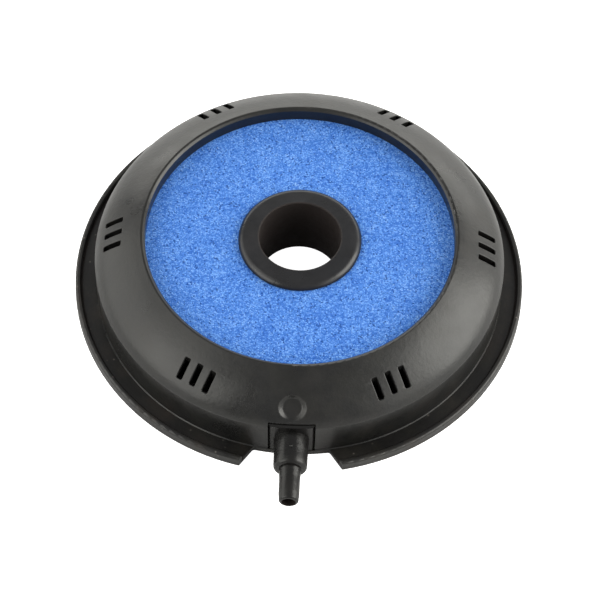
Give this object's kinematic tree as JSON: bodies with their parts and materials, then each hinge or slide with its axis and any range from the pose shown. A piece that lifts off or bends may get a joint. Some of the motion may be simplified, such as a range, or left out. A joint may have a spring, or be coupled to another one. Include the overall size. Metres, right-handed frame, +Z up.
{
  "type": "air stone disc",
  "caption": "Low round air stone disc: a domed black housing with slots holds a porous blue stone ring round a middle hole, fed by a stepped hose nozzle.",
  "frame": {"origin": "centre of the middle hole, on the plane that the disc stands on", "axes": "+Z up through the middle hole; the air inlet points along -Y"},
  "size_m": [0.12, 0.132, 0.0221],
  "materials": {
    "base_tray": "black moulded plastic, fine satin texture",
    "top_cover": "black moulded plastic, satin with faint flow marks",
    "air_stone": "open sintered grain, matt blue with lighter and darker grains",
    "hub_collar": "black moulded plastic, smooth satin",
    "air_inlet": "black moulded plastic, slightly glossier",
    "seals": "soft grey silicone",
    "o_rings": "black nitrile",
    "ballast": "turned stainless steel"
  },
  "bodies": {
    "base": {"base_tray": "base_tray", "air_stone": "air_stone", "air_inlet": "air_inlet", "outer_seal": "seals", "inner_seal": "seals", "inlet_o_ring": "o_rings", "ballast_ring": "ballast"},
    "cover": {"top_cover": "top_cover"},
    "collar": {"hub_collar": "hub_collar", "collar_o_ring": "o_rings"}
  },
  "joints": [
    {"name": "cover_lift", "type": "slide", "parent": "base", "child": "cover", "axis": [0, 0, 1], "range_m": [0, 0.03]},
    {"name": "collar_lift", "type": "slide", "parent": "base", "child": "collar", "axis": [0, 0, 1], "range_m": [0, 0.025]}
  ]
}
